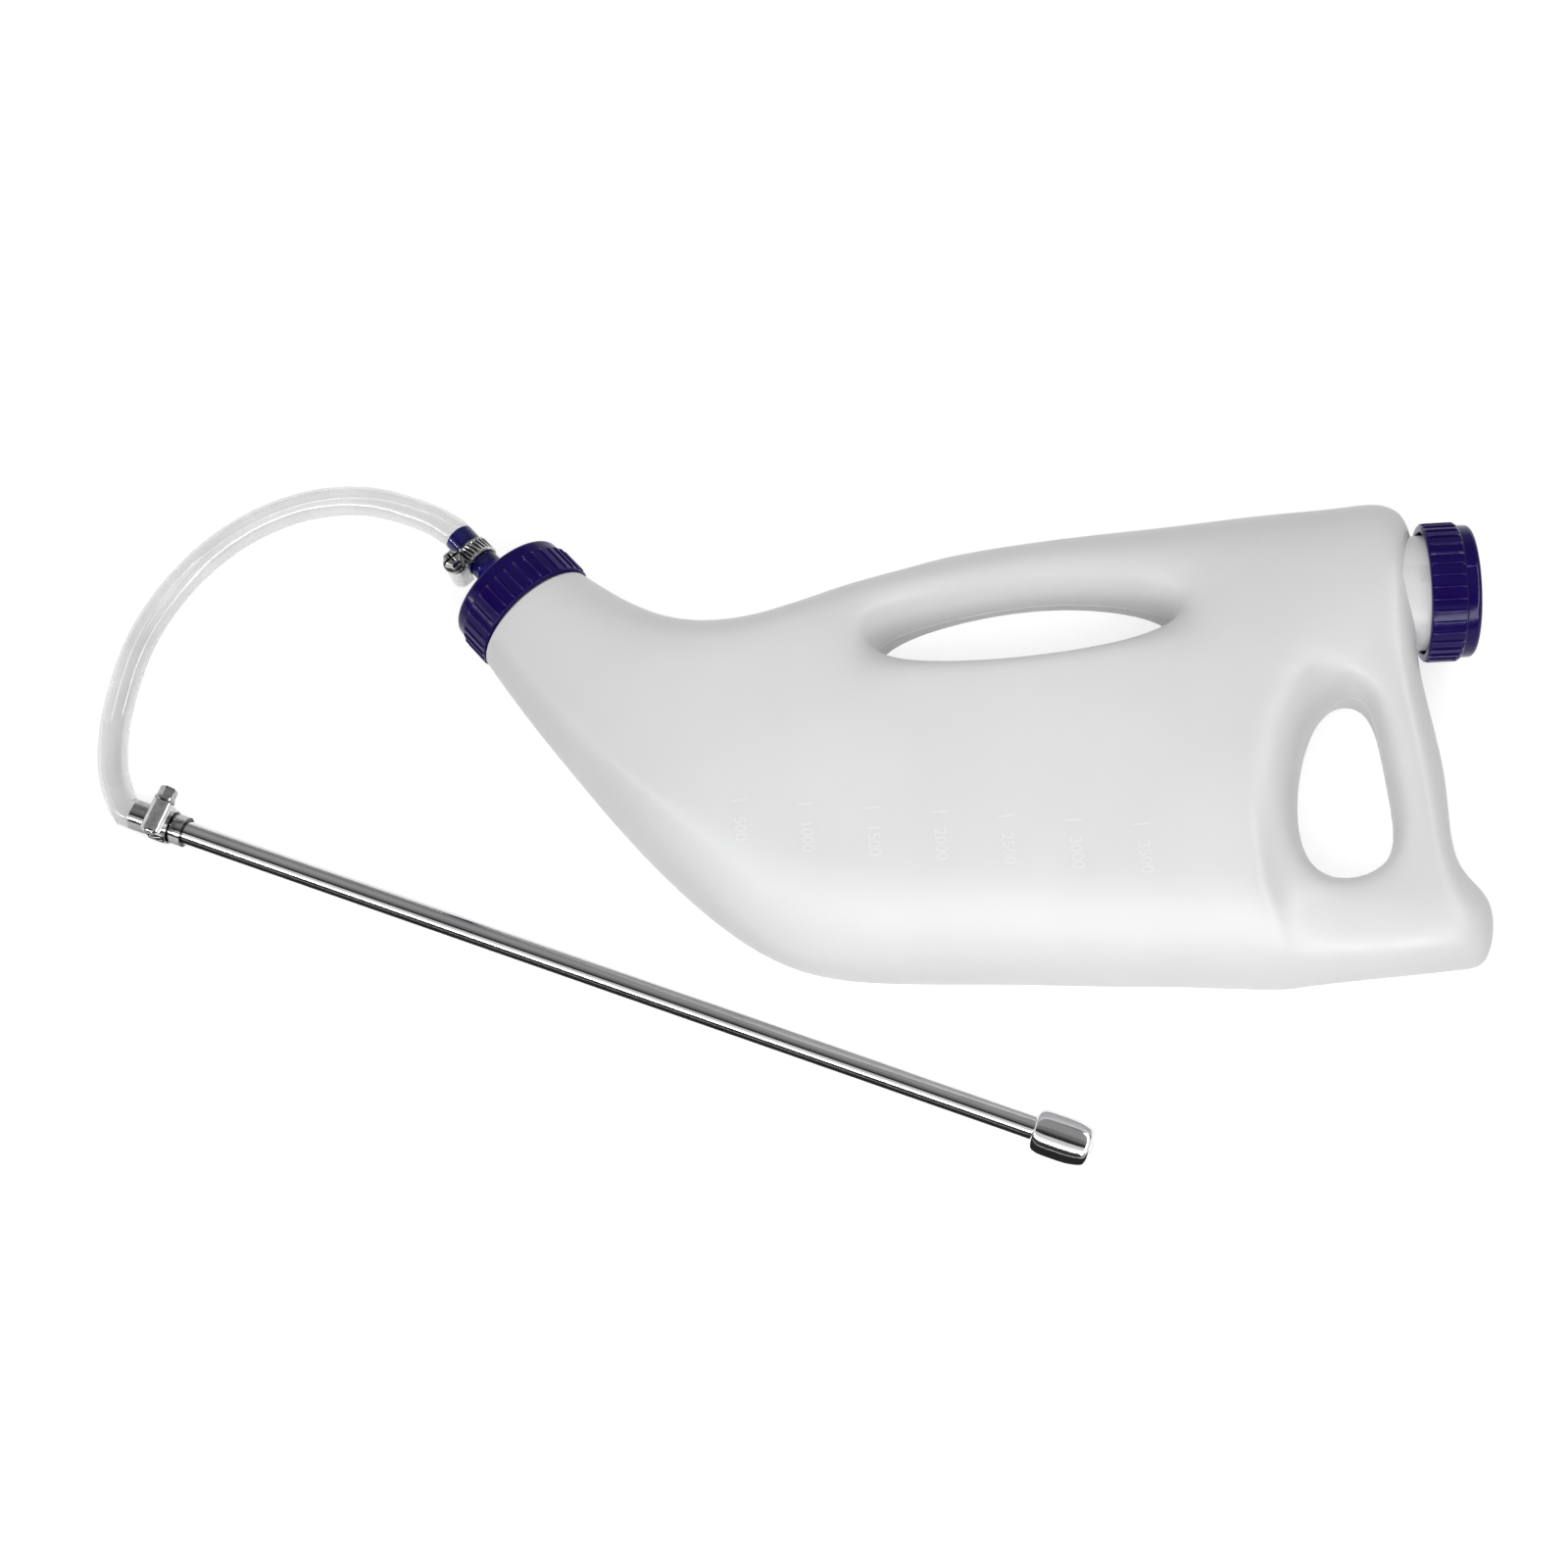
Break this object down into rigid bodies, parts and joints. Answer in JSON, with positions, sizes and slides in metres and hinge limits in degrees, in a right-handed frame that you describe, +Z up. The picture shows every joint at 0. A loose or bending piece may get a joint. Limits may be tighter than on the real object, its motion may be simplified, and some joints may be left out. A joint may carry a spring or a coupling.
{
  "type": "drenching bottle",
  "caption": "Blow-moulded drenching bottle with two screw caps, a clear hose and a steel drench tube, for dosing cattle by mouth.",
  "frame": {"origin": "on the bottle's flat side, under the middle of the tank", "axes": "+X along the bottle towards the filler cap, +Y towards the top handle, +Z up through the bottle's depth"},
  "size_m": [0.6594, 0.3627, 0.086],
  "materials": {
    "bottle": "milky satin",
    "cap": "gloss",
    "nozzle": "gloss",
    "seal": "matte",
    "hose": "clear gloss",
    "stainless": "polished",
    "clamp_steel": "bright"
  },
  "bodies": {
    "bottle": {"bottle_body": "bottle"},
    "front_end": {"hose_nozzle": "nozzle", "front_seal": "seal", "hose": "hose", "front_clamp_band": "clamp_steel", "front_clamp_housing": "clamp_steel"},
    "front_ring": {"front_cap": "cap"},
    "front_screw": {"front_clamp_screw": "clamp_steel"},
    "tube_arm": {"drench_tube": "stainless", "drench_tip": "stainless", "tube_clamp_band": "clamp_steel", "tube_clamp_housing": "clamp_steel"},
    "tube_screw": {"tube_clamp_screw": "clamp_steel"},
    "rear_disc": {"rear_seal": "seal"},
    "rear_lid": {"rear_cap": "cap"}
  },
  "joints": [
    {"name": "front_cap_lift", "type": "slide", "parent": "bottle", "child": "front_end", "axis": [-0.6088, 0.7934, 0], "range_m": [0, 0.006]},
    {"name": "front_cap_turn", "type": "hinge", "parent": "front_end", "child": "front_ring", "pos_m": [-0.1917, 0.0959, 0.043], "axis": [-0.6088, 0.7934, 0], "range_deg": [0, 540]},
    {"name": "front_clamp_screw_turn", "type": "hinge", "parent": "front_end", "child": "front_screw", "pos_m": [-0.22882, 0.12489, 0.043], "axis": [0, 0, 1], "continuous": true},
    {"name": "drench_tube_swing", "type": "hinge", "parent": "front_end", "child": "tube_arm", "pos_m": [-0.4082, 0.059, 0.0107], "axis": [0, 0, 1], "range_deg": [-60, 0], "deforming": ["hose"]},
    {"name": "tube_clamp_screw_turn", "type": "hinge", "parent": "tube_arm", "child": "tube_screw", "pos_m": [-0.38102, 0.02198, 0.0225], "axis": [0.4195, 0.9078, 0], "continuous": true},
    {"name": "rear_cap_lift", "type": "slide", "parent": "bottle", "child": "rear_disc", "axis": [0.9986, -0.0523, 0], "range_m": [0, 0.006]},
    {"name": "rear_cap_turn", "type": "hinge", "parent": "rear_disc", "child": "rear_lid", "pos_m": [0.22, 0.0638, 0.043], "axis": [0.9986, -0.0523, 0], "range_deg": [0, 540]}
  ],
  "couplings": [
    {"joint": "front_cap_lift", "follows": "front_cap_turn", "m_per_rad": 0.00063662},
    {"joint": "rear_cap_lift", "follows": "rear_cap_turn", "m_per_rad": 0.00063662}
  ]
}
